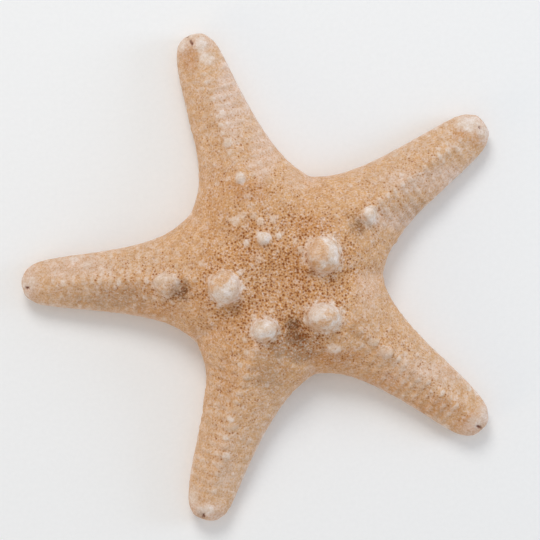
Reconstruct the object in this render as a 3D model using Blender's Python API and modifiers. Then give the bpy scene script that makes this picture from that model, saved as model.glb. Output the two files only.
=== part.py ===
"""A dried knobby starfish lying on its flat underside, modelled as one closed solid.

The body is a coarse cage of quads smoothed by a Subdivision Surface: a five-sided disc whose rows run
on out of it along five arms. The upper skin, the underside and the rounded wall between them are three
sheets of the same rows. Blunt knobs are joined to the top with Booleans.
"""

import math

import bmesh
import bpy
from mathutils import Vector
from mathutils.bvhtree import BVHTree

# The outline seen from above, counterclockwise from +X, about the middle of the disc. Metres and degrees.
ARMS = (  # heading, reach to the tip, how far the tip turns from the heading, right and left swell
    (37.0, 0.0653, 0.0, 0.00035, 0.00065),
    (110.2, 0.0660, -4.0, 0.00065, -0.00010),
    (181.7, 0.0665, 0.0, -0.00010, 0.00035),
    (252.8, 0.0655, 4.5, 0.00000, 0.00055),
    (322.8, 0.0650, -4.5, 0.00050, 0.00020),
)
NOTCHES = (  # bearing of the notch that follows each arm, and its distance from the middle
    (74.0, 0.0265),
    (146.0, 0.0281),
    (217.5, 0.0275),
    (289.6, 0.0266),
    (361.0, 0.0261),
)
TIP_HALF_WIDTH = 0.0060
TIP_LENGTH = 0.0062
TAPER = 9.5  # degrees between an arm's edge and its axis where the rounded tip begins
NOTCH_HANDLE = 0.27  # the edge curve's two handles, as shares of the distance from notch to tip
TIP_HANDLE = 0.30
SWELL_SCALE = 6.75  # makes an edge's swell reach its full size a third of the way out
SMOOTHING_ALLOWANCE = 0.0004  # the cage stands this far outside the surface that it smooths to

# Heights above the surface that it lies on
DISC_HEIGHT = 0.0180
ROOT_HEIGHT = 0.0164  # crest of an arm where it leaves the disc
TIP_HEIGHT = 0.0088
CREST_FALL = 0.95  # below 1, the crest falls fastest near the disc
DISC_MARGIN_HEIGHT = 0.0056  # where the outline is widest
TIP_MARGIN_HEIGHT = 0.0036
FULLNESS = 0.85  # below 1, a rounded section is fuller than an ellipse
DISC_SHOULDER = 1.7  # above 1, the skin dips softly between two arms
SHOULDER_REACH = 0.35  # share of an arm over which its section grows from the one to the other

# An arm's section mixes a roof with a rounded section, and these are the roof's shares of it
ROOF_AT_DISC = 0.15
ROOF_AT_ROOT = 0.60  # where an arm leaves the disc
ROOF_ALONG_ARM = 1.0
ROOF_AT_TIP = 0.45
ROOF_FALL = 0.72  # the roof falls by this share of its height from its crest to its edges

# The underside
FOOT_INSET = 0.0019  # from the widest outline in to the edge of the flat underside
PRESS_DEPTH = 0.0007  # how much of the cage is pressed flat against what the animal dried on
GROOVE_HALF_WIDTH = 0.0024
GROOVE_DEPTH = 0.0050
MOUTH_DEPTH = 0.0085
TIP_GROOVE_SHARE = 0.45  # a groove's width and depth at the tip, as a share of those at the mouth

# The cage's grid
ACROSS = 6  # cells across an arm
RINGS = (0.36, 0.62, 0.83)  # rows inside the disc, as shares of the distance to the notches
ARM_ROWS = 8
TIP_ROWS = (30.0, 56.0)  # degrees round the rounded tip, from its widest place towards its end
TIP_CORNER = 22.0  # half of the angle that the last row takes at the very end
ROW_BOW = 0.0052  # how far the notch row bulges outwards between its two notches
TIP_BOW_SHARE = 0.12  # the same for the rows round the tip, as a share of its length
MOST_LIP_SHARE = 0.4  # the groove takes at most this share of the underside's width

# Knobs: place from the middle of the disc, widths along X and Y, and rise above the skin
KNOBS = (
    ((0.0107, 0.0053), (0.0090, 0.0100), 0.0046),
    ((-0.0142, -0.0030), (0.0088, 0.0086), 0.0046),
    ((0.0107, -0.0103), (0.0095, 0.0082), 0.0046),
    ((-0.0040, -0.0134), (0.0076, 0.0062), 0.0036),
    ((-0.0289, -0.0021), (0.0066, 0.0066), 0.0026),
    ((0.0224, 0.0150), (0.0036, 0.0050), 0.0026),
    ((-0.0044, 0.0094), (0.0038, 0.0038), 0.0016),
    ((-0.0103, 0.0247), (0.0030, 0.0030), 0.0014),
    ((0.0134, -0.0185), (0.0042, 0.0026), 0.0011),
    ((0.0265, -0.0195), (0.0030, 0.0030), 0.0010),
)
KNOB_SINK = 0.35  # share of a knob's rise by which its middle lies under the skin
SWELL_SHARE = 0.30  # the skin swells by this share of a knob's rise
SWELL_REACH = 0.95  # the swelling's spread, in knob half-widths
KNOB_SEGMENTS = 14
KNOB_RINGS = 8

SKIN_COLOUR = (0.62, 0.42, 0.25, 1.0)
SKIN_ROUGHNESS = 0.85


def towards(degrees):
    """A level unit vector on this bearing."""
    angle = math.radians(degrees)
    return Vector((math.cos(angle), math.sin(angle), 0.0))


def leftwards(direction):
    """The level direction a quarter turn counterclockwise from this one."""
    return Vector((-direction.y, direction.x, 0.0))


def mixed(a, b, share):
    return a + (b - a) * share


def bezier(points, t):
    a, b, c, d = points
    s = 1.0 - t
    return a * s**3 + b * (3 * s * s * t) + c * (3 * s * t * t) + d * t**3


def notch_point(index):
    bearing, distance = NOTCHES[index % len(NOTCHES)]
    return towards(bearing) * (distance + SMOOTHING_ALLOWANCE)


class Row:
    """One row of the cage across an arm, from its right end to its left end."""

    def __init__(self, right, left, feet, bow, crest, end, shoulder, roof, along):
        self.right = right
        self.left = left
        self.feet = feet  # the right and left ends of the row on the underside
        self.bow = bow  # vector by which the row's middle is carried outwards
        self.crest = crest  # height at the middle of the row
        self.end = end  # height of the upper skin at the row's two ends
        self.shoulder = shoulder  # exponent of a rounded rise from the ends to the crest
        self.roof = roof  # 0 for that rounded rise, 1 for a straight one
        self.along = along  # 0 at the mouth, 1 at the tip


def across(right, left, bow, side):
    """The level point at this place across a row, from -1 at the right to 1 at the left."""
    return mixed(right, left, (1.0 + side) / 2.0) + bow * (1.0 - side * side)


def fuller(value):
    """A sine or cosine pushed outwards, which fills out an ellipse."""
    return math.copysign(abs(value) ** FULLNESS, value)


def top_points(row):
    """The row's points over the upper skin."""
    points = []
    for column in range(ACROSS + 1):
        angle = math.radians(180.0 * column / ACROSS - 90.0)
        side = fuller(math.sin(angle))
        rounded = max(math.cos(angle), 0.0) ** row.shoulder
        straight = 1.0 - ROOF_FALL * abs(side)
        rise = mixed(rounded, straight, row.roof) if 0 < column < ACROSS else 0.0
        point = across(row.right, row.left, row.bow, side)
        point.z = mixed(row.end, row.crest, rise)
        points.append(point)
    return points


def bottom_points(row):
    """The row's points over the underside: foot, flat, groove lip, groove, and the same again."""
    right, left = row.feet
    groove = mixed(1.0, TIP_GROOVE_SHARE, row.along)
    lip = min(GROOVE_HALF_WIDTH * groove * 2.0 / (left - right).length, MOST_LIP_SHARE)
    flat = (1.0 + lip) / 2.0
    points = []
    for side in (-1.0, -flat, -lip, 0.0, lip, flat, 1.0):
        point = across(right, left, row.bow, side)
        point.z = -PRESS_DEPTH
        if side == 0.0:
            point.z = GROOVE_DEPTH * groove
        points.append(point)
    return points


def disc_rows(index):
    """The rows inside the disc, from the middle out to just short of the notches."""
    heading = towards(ARMS[index][0])
    rows = []
    for share in RINGS:
        right = notch_point(index - 1) * share
        left = notch_point(index) * share
        crest = mixed(DISC_HEIGHT, ROOT_HEIGHT, share * share)
        end = mixed(DISC_MARGIN_HEIGHT, DISC_HEIGHT, math.sqrt(1.0 - share * share))
        bow = heading * (ROW_BOW * share)
        roof = mixed(0.0, ROOF_AT_DISC, share)
        rows.append(Row(right, left, (right, left), bow, crest, end, DISC_SHOULDER, roof, 0.0))
    return rows


def arm_rows(index):
    """The rows from the notches to the rounded tip, and on round it as far as its last chord."""
    heading, reach, lean, *swells = ARMS[index]
    outwards = towards(heading)
    ahead = towards(heading + lean)
    aside = leftwards(ahead)
    half_width = TIP_HALF_WIDTH + SMOOTHING_ALLOWANCE
    length = TIP_LENGTH + SMOOTHING_ALLOWANCE
    tip_middle = outwards * reach - ahead * TIP_LENGTH
    edges = []
    for sign in (-1, 1):
        notch = notch_point(index if sign > 0 else index - 1)
        start = tip_middle + aside * (sign * half_width)
        leaving = leftwards(notch.normalized()) * -sign
        arriving = towards(heading + lean - sign * TAPER)
        span = (start - notch).length
        near = notch + leaving * (NOTCH_HANDLE * span)
        far = start - arriving * (TIP_HANDLE * span)
        edges.append((notch, near, far, start))
    rows = []
    for step in range(ARM_ROWS + 1):
        t = step / ARM_ROWS
        swollen = leftwards(outwards) * (SWELL_SCALE * t * (1.0 - t) ** 2)
        right = bezier(edges[0], t) - swollen * swells[0]
        left = bezier(edges[1], t) + swollen * swells[1]
        inwards = (left - right).normalized() * FOOT_INSET
        feet = (right + inwards, left - inwards)
        if step == 0:
            feet = (right - right.normalized() * FOOT_INSET, left - left.normalized() * FOOT_INSET)
        bow = outwards * (ROW_BOW * (1.0 - t) ** 2)
        crest = mixed(ROOT_HEIGHT, TIP_HEIGHT, t**CREST_FALL)
        margin = mixed(DISC_MARGIN_HEIGHT, TIP_MARGIN_HEIGHT, t)
        grown = min(t / SHOULDER_REACH, 1.0)
        shoulder = mixed(DISC_SHOULDER, FULLNESS, grown)
        roof = mixed(ROOF_AT_ROOT, ROOF_ALONG_ARM, grown)
        rows.append(Row(right, left, feet, bow, crest, margin, shoulder, roof, t))
    for angle in map(math.radians, TIP_ROWS):
        chord_middle = tip_middle + ahead * (length * math.sin(angle))
        side = aside * (half_width * math.cos(angle))
        right = chord_middle - side
        left = chord_middle + side
        foot = (half_width - FOOT_INSET) / half_width
        foot_middle = mixed(tip_middle, chord_middle, foot)
        feet = (foot_middle - side * foot, foot_middle + side * foot)
        crest = mixed(TIP_MARGIN_HEIGHT, TIP_HEIGHT, fuller(math.cos(angle)))
        bow = ahead * (length * TIP_BOW_SHARE * math.sin(angle))
        margin = TIP_MARGIN_HEIGHT
        rows.append(Row(right, left, feet, bow, crest, margin, FULLNESS, ROOF_AT_TIP, 1.0))
    return rows


def tip_rims(index):
    """The last row, bent round the very end of the arm: once on the outline and once at the foot."""
    heading, reach, lean = ARMS[index][:3]
    ahead = towards(heading + lean)
    aside = leftwards(ahead)
    tip_middle = towards(heading) * reach - ahead * TIP_LENGTH
    rims = []
    for inset, height in ((-SMOOTHING_ALLOWANCE, TIP_MARGIN_HEIGHT), (FOOT_INSET, -PRESS_DEPTH)):
        rim = []
        for column in range(ACROSS + 1):
            angle = math.radians(TIP_CORNER * (2.0 * column / ACROSS - 1.0))
            point = tip_middle + ahead * ((TIP_LENGTH - inset) * math.cos(angle))
            point += aside * ((TIP_HALF_WIDTH - inset) * math.sin(angle))
            point.z = height
            rim.append(point)
        rims.append(rim)
    return rims


def add_sheet(cage, rows):
    """Quads between each list of points and the next. Points that coincide are welded afterwards."""
    grid = [[cage.verts.new(point) for point in row] for row in rows]
    for first, second in zip(grid, grid[1:]):
        for i in range(len(first) - 1):
            cage.faces.new((first[i], first[i + 1], second[i + 1], second[i]))


def middle_patch(own, following, middle, jaw_height=None):
    """The patch of grid between the middle of the disc and the notch between two arms' inner rows.

    A jaw height keeps the patch flat between the grooves that run along its two inner edges.
    """
    half = ACROSS // 2
    edge_a = own[half:]  # from the arm's axis to the notch side
    edge_b = following[half::-1]
    rows = []
    for i in range(half + 1):
        u = i / half
        row = []
        for j in range(half + 1):
            v = j / half
            inner_a = mixed(middle, edge_b[0], v)
            inner_b = mixed(middle, edge_a[0], u)
            across = mixed(inner_a, edge_a[j], u)
            along = mixed(inner_b, edge_b[i], v)
            corners = mixed(mixed(middle, edge_a[0], u), mixed(edge_b[0], edge_a[half], u), v)
            point = across + along - corners
            if jaw_height is not None and i > 0 and j > 0:
                point.z = jaw_height
            row.append(point)
        rows.append(row)
    return rows


def body_cage():
    """The whole cage as a closed mesh of quads."""
    cage = bmesh.new()
    inner_tops = []
    inner_bottoms = []
    for index in range(len(ARMS)):
        rows = disc_rows(index) + arm_rows(index)
        tops = [top_points(row) for row in rows]
        bottoms = [bottom_points(row) for row in rows]
        outline_rim, foot_rim = tip_rims(index)
        tops.append(outline_rim)
        bottoms.append(foot_rim)
        add_sheet(cage, tops)
        add_sheet(cage, bottoms)
        outer_tops = tops[len(RINGS):]
        outer_bottoms = bottoms[len(RINGS):]
        add_sheet(cage, [rim_chain(outer_tops), rim_chain(outer_bottoms)])
        inner_tops.append(tops[0])
        inner_bottoms.append(bottoms[0])
    top_middle = Vector((0.0, 0.0, DISC_HEIGHT))
    mouth = Vector((0.0, 0.0, MOUTH_DEPTH))
    for index in range(len(ARMS)):
        following = (index + 1) % len(ARMS)
        top = middle_patch(inner_tops[index], inner_tops[following], top_middle)
        bottom = middle_patch(inner_bottoms[index], inner_bottoms[following], mouth, -PRESS_DEPTH)
        add_sheet(cage, top)
        add_sheet(cage, bottom)
    bmesh.ops.remove_doubles(cage, verts=cage.verts, dist=1e-6)
    bmesh.ops.recalc_face_normals(cage, faces=cage.faces)
    return cage


def rim_chain(rows):
    """The sheet's free edge: out along the right side, round the tip and back along the left side."""
    rights = [row[0] for row in rows[:-1]]
    lefts = [row[-1] for row in rows[:-1]]
    return rights + rows[-1] + lefts[::-1]


def evaluated_mesh(obj):
    """The object's mesh with its modifiers applied."""
    bpy.context.view_layer.update()
    graph = bpy.context.evaluated_depsgraph_get()
    return bpy.data.meshes.new_from_object(obj.evaluated_get(graph))


def swelling(point):
    """How far the skin rises round the knobs at this place."""
    rise = 0.0
    for place, widths, knob_rise in KNOBS:
        dx = (point.x - place[0]) / (widths[0] * SWELL_REACH)
        dy = (point.y - place[1]) / (widths[1] * SWELL_REACH)
        rise += knob_rise * SWELL_SHARE * math.exp(-2.0 * (dx * dx + dy * dy))
    return rise


def make_body(collection):
    """The smoothed body, pressed flat underneath, with its bounding box's bottom centre at the origin."""
    mesh = bpy.data.meshes.new("starfish_cage")
    cage = body_cage()
    cage.to_mesh(mesh)
    cage.free()
    body = bpy.data.objects.new("starfish", mesh)
    collection.objects.link(body)
    smooth = body.modifiers.new("Smooth", "SUBSURF")
    smooth.levels = 1
    smooth.render_levels = 1
    body.data = evaluated_mesh(body)
    body.modifiers.remove(smooth)
    bpy.data.meshes.remove(mesh)
    body.data.name = "starfish"
    vertices = body.data.vertices
    for vertex in vertices:
        if vertex.co.z > DISC_MARGIN_HEIGHT and vertex.normal.z > 0.0:
            vertex.co.z += swelling(vertex.co)
        vertex.co.z = max(vertex.co.z, 0.0)
    middle = Vector((0.0, 0.0, 0.0))
    for axis in (0, 1):
        values = [vertex.co[axis] for vertex in vertices]
        middle[axis] = (min(values) + max(values)) / 2.0
    for vertex in vertices:
        vertex.co -= middle
    body.data.update()
    return body, middle


def make_knob(collection, number, centre, half_widths, half_height):
    """A squashed sphere that a Boolean joins to the body."""
    ball = bmesh.new()
    bmesh.ops.create_uvsphere(ball, u_segments=KNOB_SEGMENTS, v_segments=KNOB_RINGS, radius=1.0)
    for vertex in ball.verts:
        vertex.co.x *= half_widths[0]
        vertex.co.y *= half_widths[1]
        vertex.co.z *= half_height
    mesh = bpy.data.meshes.new(f"knob_{number}")
    ball.to_mesh(mesh)
    ball.free()
    knob = bpy.data.objects.new(f"knob_{number}", mesh)
    knob.location = centre
    knob.hide_render = True
    knob.display_type = "WIRE"
    collection.objects.link(knob)
    return knob


def add_knobs(body, middle, helpers):
    surface = BVHTree.FromObject(body, bpy.context.evaluated_depsgraph_get())
    for number, (place, widths, rise) in enumerate(KNOBS, start=1):
        above = Vector((place[0] - middle.x, place[1] - middle.y, 1.0))
        skin = surface.ray_cast(above, Vector((0.0, 0.0, -1.0)))[0]
        sink = rise * KNOB_SINK
        centre = Vector((skin.x, skin.y, skin.z - sink))
        half_widths = (widths[0] / 2.0, widths[1] / 2.0)
        knob = make_knob(helpers, number, centre, half_widths, rise + sink)
        join = body.modifiers.new(f"Join {knob.name}", "BOOLEAN")
        join.operation = "UNION"
        join.object = knob


def skin_material():
    material = bpy.data.materials.new("dried_skin")
    material.use_nodes = True
    shader = material.node_tree.nodes["Principled BSDF"]
    shader.inputs["Base Color"].default_value = SKIN_COLOUR
    shader.inputs["Roughness"].default_value = SKIN_ROUGHNESS
    shader.inputs["Metallic"].default_value = 0.0
    return material


def new_collection(name):
    collection = bpy.data.collections.new(name)
    bpy.context.scene.collection.children.link(collection)
    return collection


def main():
    for obj in list(bpy.data.objects):
        bpy.data.objects.remove(obj)
    parts = new_collection("dried_starfish")
    helpers = new_collection("knob_shapes")
    body, middle = make_body(parts)
    bpy.context.view_layer.update()
    add_knobs(body, middle, helpers)
    body.data.materials.append(skin_material())
    body.data.shade_smooth()


main()
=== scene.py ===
"""Looks of the dried knobby starfish: pitted skin, chalky knobs and plates, open furrows underneath."""

import math

import bmesh
import bpy
import numpy as np
from bpy.props import (
    FloatProperty,
    FloatVectorProperty,
    IntProperty,
    PointerProperty,
)
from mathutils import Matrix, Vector, noise
from mathutils.bvhtree import BVHTree
from mathutils.kdtree import KDTree


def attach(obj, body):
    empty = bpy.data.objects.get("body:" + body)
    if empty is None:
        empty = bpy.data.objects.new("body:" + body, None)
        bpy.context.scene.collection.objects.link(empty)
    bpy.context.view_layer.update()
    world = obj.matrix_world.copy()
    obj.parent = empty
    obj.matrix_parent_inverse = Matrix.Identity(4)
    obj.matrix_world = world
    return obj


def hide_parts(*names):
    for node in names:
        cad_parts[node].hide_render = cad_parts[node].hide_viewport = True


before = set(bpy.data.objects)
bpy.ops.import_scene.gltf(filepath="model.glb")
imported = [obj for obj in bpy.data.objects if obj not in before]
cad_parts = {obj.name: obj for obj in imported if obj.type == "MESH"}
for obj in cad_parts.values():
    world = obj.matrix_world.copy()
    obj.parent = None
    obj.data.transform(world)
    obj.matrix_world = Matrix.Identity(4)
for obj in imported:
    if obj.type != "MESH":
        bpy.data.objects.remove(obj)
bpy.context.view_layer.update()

bl_info = {
    "name": "Dried Starfish",
    "version": (1, 0, 0),
    "blender": (4, 5, 0),
    "location": "View3D > Sidebar > Starfish",
    "description": "Builds a dried knobby starfish round its solid model",
    "category": "Add Mesh",
}

MM = 0.001
BODY_NODE = "starfish"
ROOT = "root"
SEED = 7

# The disc's middle in the frame, and everything else in millimetres from it, +Y up the longest span.
DISC_MIDDLE = (6.52, 0.25)
ARMS = (  # heading in degrees, reach, and lean of the tip in degrees, as in the solid model
    (37.0, 65.3, 0.0),
    (110.2, 66.0, -4.0),
    (181.7, 66.5, 0.0),
    (252.8, 65.5, 4.5),
    (322.8, 65.0, -4.5),
)

# Knobs: place, widths along X and Y, whiteness, and worn patches (offset and size, in half-widths)
KNOBS = (
    ((10.7, 5.3), (9.0, 10.0), 0.90, ((-0.30, 0.20, 0.62), (0.25, -0.62, 0.25), (-0.7, -0.5, 0.4))),
    ((-14.2, -3.0), (8.8, 8.6), 0.85, ((-0.35, 0.45, 0.34), (-0.68, -0.05, 0.26), (0.1, 0.7, 0.25))),
    ((10.7, -10.3), (9.5, 8.2), 0.85, ((0.30, 0.05, 0.34), (-0.05, -0.35, 0.36), (-0.45, -0.7, 0.36))),
    ((-4.0, -13.4), (7.6, 6.2), 0.95, ((0.0, -1.0, 0.35),)),
    ((-28.9, -2.1), (6.6, 6.6), 0.65, ((0.25, -0.3, 0.5), (-0.6, -0.5, 0.3))),
    ((22.4, 15.0), (4.2, 5.4), 0.85, ((-0.8, 0.0, 0.5),)),
    ((-4.4, 9.4), (3.8, 3.8), 0.95, ()),
    ((-10.3, 24.7), (2.7, 2.7), 0.75, ()),
    ((13.4, -18.5), (4.2, 2.6), 0.60, ()),
    ((26.5, -19.5), (3.0, 3.0), 0.50, ()),
)
# Small nodules: place, radius and whiteness
NODULES = (
    (-8.8, 8.3, 0.95, 0.7),
    (-0.6, 10.2, 1.0, 0.7),
    (-11.6, 13.8, 1.3, 0.5),
    (-9.6, 15.3, 1.1, 0.4),
    (-7.0, 15.2, 0.9, 0.4),
    (-5.3, 13.7, 1.2, 0.5),
    (-2.0, 14.2, 1.0, 0.5),
    (-9.0, 12.2, 0.8, 0.3),
    (-20.3, 3.1, 0.8, 0.4),
    (-5.6, 4.3, 1.3, 0.3),
    (4.9, 6.7, 1.0, 0.6),
    (3.6, 9.0, 0.8, 0.4),
    (10.5, 14.4, 0.8, 0.3),
    (-10.2, 0.9, 1.0, 0.5),
    (-6.9, -10.2, 0.9, 0.5),
    (-2.4, -8.6, 0.75, 0.4),
    (-9.2, -16.1, 0.9, 0.5),
    (-8.8, -19.2, 0.9, 0.5),
    (-10.4, -22.5, 0.8, 0.5),
    (-8.6, -25.5, 0.9, 0.5),
    (6.2, -9.6, 1.0, 0.4),
    (17.6, 2.6, 0.8, 0.3),
    (22.8, -16.6, 1.15, 0.6),
    (30.8, -23.4, 1.0, 0.4),
    (34.8, -26.6, 0.9, 0.4),
    (48.0, -28.7, 1.1, 0.7),
    (-13.5, 33.8, 1.3, 0.7),
    (-14.9, 41.5, 1.0, 0.5),
    (-53.0, 4.3, 1.3, 0.6),
    (-49.5, 2.8, 1.2, 0.4),
    (-12.0, -38.5, 1.0, 0.4),
    (-14.0, -46.0, 1.3, 0.5),
)
# Smooth pale patches on the arms' tips: place, half-widths along X and Y, and whiteness
TIP_PATCHES = (
    (-20.4, 59.2, 1.7, 2.3, 0.8),
    (-18.8, 55.4, 2.2, 1.8, 0.7),
    (-23.0, 62.4, 3.4, 1.5, 0.7),
    (-25.6, 59.4, 1.4, 2.2, 0.6),
    (47.8, 38.9, 3.2, 2.1, 0.8),
    (51.8, 36.8, 1.8, 2.0, 0.7),
    (49.8, -37.2, 2.2, 1.6, 0.6),
    (51.8, -35.6, 1.4, 2.4, 0.5),
    (-19.2, -59.8, 2.6, 1.3, 0.7),
    (-22.4, -56.6, 1.2, 2.0, 0.6),
    (-66.2, -1.9, 1.5, 1.6, 0.6),
    (-64.0, -1.6, 1.6, 1.6, 0.5),
    (-65.8, -5.0, 1.4, 1.1, 0.55),
)
# Dark pits on the tips: place, length, and bearing in degrees
TIP_PITS = (
    (-22.9, 59.7, 1.7, 116.0),
    (-24.0, 61.4, 0.7, 110.0),
    (50.8, 37.9, 0.5, 30.0),
    (50.7, -38.7, 1.8, -34.0),
    (-19.8, -61.4, 1.1, 85.0),
    (-64.9, -3.1, 1.1, 0.0),
)
# Stained hollows beside the knobs, their dark colour partly painted shade: place, radius and strength
STAINS_AND_SHADE = (
    (-25.6, -3.9, 2.8, 1.0),
    (3.2, -12.6, 2.3, 1.0),
    (4.2, -15.6, 2.8, 0.7),
    (19.6, 12.6, 2.4, 0.6),
    (18.0, 14.8, 2.0, 0.35),
    (-11.2, -8.3, 2.2, 0.45),
    (7.6, 0.6, 1.6, 0.5),
    (-7.2, -6.5, 2.0, 0.25),
    (-20.6, -61.2, 1.3, 0.35),
)
# Wide tints of the skin: kind, place, half-widths along X and Y, and strength. Besides orange, grey and
# pink patches of the skin, they hold painted shade on the arms' shaded flanks and painted light on the
# lit ones.
TINTS = (
    ("rust", -8.0, 21.3, 5.5, 3.2, 0.9),
    ("rust", 6.5, 13.0, 8.5, 2.6, 0.7),
    ("rust", 3.0, 1.5, 4.5, 7.5, 0.6),
    ("rust", -9.0, 5.5, 6.0, 3.5, 0.5),
    ("rust", -18.5, 3.5, 4.5, 5.0, 0.45),
    ("rust", -19.5, -6.0, 4.5, 4.0, 0.5),
    ("rust", -13.5, -12.5, 4.0, 4.5, 0.4),
    ("rust", -16.5, 20.0, 4.0, 9.0, 0.4),
    # Painted shade as well as rust: this patch and the next darken the shaded lower flank of the
    # lower-right arm.
    ("rust", 13.5, -20.5, 8.0, 2.4, 0.9),
    ("rust", 40.0, -33.5, 6.5, 2.6, 0.6),
    ("rust", 47.5, -37.5, 3.2, 2.6, 0.8),
    ("rust", -23.6, 55.6, 2.6, 3.2, 0.8),
    ("rust", 45.5, 36.0, 2.4, 1.7, 0.7),
    ("rust", 49.5, 34.8, 2.2, 1.6, 0.5),
    ("rust", -13.5, -26.0, 2.4, 8.0, 0.4),
    # Painted shade: these patches darken the shaded lower flanks of the left arm and the lower-right
    # arm.
    ("rust", -38.0, -4.0, 9.0, 3.0, 0.4),
    ("rust", 17.0, -21.5, 6.0, 3.0, 0.5),
    ("rust", 26.0, -28.0, 6.0, 3.5, 0.6),
    ("rust", 34.5, -33.5, 5.0, 3.0, 0.5),
    ("rust", -31.0, -8.5, 9.0, 2.6, 0.55),
    # Ash: grey-brown, mostly painted shade, on the notch between the two lower arms, the downward arm's
    # right flank, and the lower flanks of the left and upper-right arms.
    ("ash", 3.5, -18.0, 6.5, 4.2, 0.85),
    ("ash", -3.0, -24.0, 5.0, 6.0, 0.5),
    ("ash", -43.0, -5.8, 12.0, 2.4, 0.5),
    ("ash", 33.0, 16.5, 7.0, 3.0, 0.35),
    ("ash", 20.0, -13.5, 3.0, 2.0, 0.3),
    # Blush: pink, and painted light on the lit upper flanks of the left and lower-right arms and the
    # right flank of the upward arm; on the upper-right arm's lower flank it paints a cool lilac shade.
    ("blush", -53.0, 2.2, 9.0, 3.5, 0.6),
    ("blush", 37.5, -24.5, 11.0, 3.5, 0.5),
    ("blush", -12.5, 42.0, 3.5, 11.0, 0.6),
    ("blush", 38.0, 24.0, 11.0, 3.5, 0.6),
    ("blush", 30.0, 14.5, 7.0, 3.5, 0.7),
    ("blush", 43.0, 25.5, 6.0, 3.0, 0.7),
    ("blush", -4.5, 32.0, 4.0, 9.0, 0.6),
    ("blush", -8.0, 45.0, 3.5, 7.0, 0.7),
    ("blush", -13.5, 47.0, 4.0, 9.0, 0.75),
    ("blush", 22.5, -4.0, 3.5, 7.0, 0.45),
    ("blush", 5.0, 24.0, 5.0, 3.0, 0.3),
    ("blush", -14.5, -47.0, 3.0, 8.0, 0.3),
    ("blush", -5.5, -17.5, 2.5, 2.0, 0.4),
)

# Rows of plates along an arm: share of the half-width, size, whiteness
PLATE_ROWS = (
    (0.0, 0.90, 0.85),
    (0.22, 0.80, 0.50),
    (-0.22, 0.80, 0.50),
    (0.44, 0.80, 0.45),
    (-0.44, 0.80, 0.45),
    (0.64, 0.80, 0.35),
    (-0.64, 0.80, 0.35),
    (0.84, 0.85, 0.50),
    (-0.84, 0.85, 0.50),
)
WIDTH_STEP = 2.0 * MM  # between the places where an arm's width is taken
PLATE_STEP = 2.4 * MM  # from one plate of a row to the next
PLATES_BEGIN = 17.0 * MM  # out from the disc's middle
FAINT_PLATES_END = 26.0 * MM
PLATES_END = 7.5 * MM  # in from the tip
# Rows of plates round the margin: height, start in steps, rise in plate rises, and whiteness
MARGIN_ROWS = (
    (6.6, 0.0, 0.5, 0.70),
    (2.0, 0.5, 1.2, 0.55),
)
MARGIN_STEP = 2.9 * MM  # from one margin plate to the next
MARGIN_BEGIN = 23.0 * MM
MARGIN_END = 5.0 * MM

# Grain sizes of the noise that the relief and the tints follow
SLOW_WAVES = 9.0 * MM
LOW_BUMPS = 2.6 * MM
FINE_BUMPS = 1.0 * MM
TINT_LUMPS = 3.5 * MM
CAP_FACETS = 1.9 * MM
CAP_LUMPS = 1.5 * MM
TIP_LUMPS = 1.6 * MM
HOLLOW_LUMPS = 1.1 * MM
PORE_PATCHES = 3.4 * MM
PAVEMENT = 1.7 * MM

# Heights, depths and widths of the relief
LOW_BUMP_RISE = 0.10 * MM
FINE_BUMP_RISE = 0.05 * MM
RIB_RISE = 0.05 * MM
RIDGE_WIDTH = 1.5 * MM
LARGE_KNOB = 9.0  # width of a knob whose cap has its full relief
RIM_DEPTH = 0.04 * MM
TIP_RISE = 0.10 * MM
PIT_DEPTH = 0.45 * MM
PIT_HALF_WIDTH = 0.34 * MM
HOLLOW_DEPTH = 0.40 * MM
PAVEMENT_RISE = 0.25 * MM
UNDERSIDE_LIFT = 0.42 * MM
PRESSED_HEIGHT = 1.2 * MM  # the underside carries granules below this
LOWEST = 0.25 * MM
JITTER = 0.05 * MM

# The colour layout: where upper and lower side part, and how far the steep margin is spread
LAYOUT_SEAM = -0.05
UNFOLD = 3.0 * MM

# The lines of spines in the furrows and round the mouth
LINE_STEP = 1.5 * MM
FURROW_BEGINS = 6.0 * MM  # out from the disc's middle
FURROW_ENDS = 5.5 * MM  # in from the tip
LIP_AT_MOUTH = 1.75 * MM  # from the furrow's middle
LIP_AT_TIP = 0.80 * MM
DEEPEST_FURROW = 6.0 * MM
SPINE_SINK = 0.05 * MM
LOWEST_SPINE = 0.95 * MM
JAW_TURNS = (-24.0, -12.0, 0.0, 12.0, 24.0)  # degrees either side of a jaw's middle
LOWEST_JAW = 1.1 * MM
GRANULE_DENSITY = 4.0e6  # more to a square metre than their spacing lets stand

# The stage: lights (name, place, width and colour), and the camera's place over the frame
BOARD_SIZE = 3.0
LIGHTS = (
    ("key_light", (-0.18, 0.78, 0.88), 0.55, (1.0, 0.99, 0.97)),
    ("warm_light", (-0.95, -0.65, 0.42), 0.5, (1.0, 0.70, 0.38)),
    ("cool_light", (1.15, 0.15, 0.42), 0.5, (0.62, 0.79, 1.0)),
)
CAMERA_PLACE = (3.7 * MM, 1.75 * MM)
OUTLINE_HEIGHT = 5.0 * MM
SENSOR_WIDTH = 36.0


def length(name, description, default, least=0.0):
    """A length that a user would change."""
    return FloatProperty(
        name=name, description=description, default=default, min=least, unit="LENGTH"
    )


def power(name, description, default):
    """A light's strength that a user would change."""
    return FloatProperty(name=name, description=description, default=default, min=0.0)


def whole_number(name, description, default):
    """A whole number that a user would change."""
    return IntProperty(name=name, description=description, default=default, min=0)


def colour(name, description, default):
    """A colour that a user would change."""
    return FloatVectorProperty(
        name=name,
        description=description,
        subtype="COLOR",
        size=4,
        min=0.0,
        max=1.0,
        default=(*default, 1.0),
    )


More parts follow.
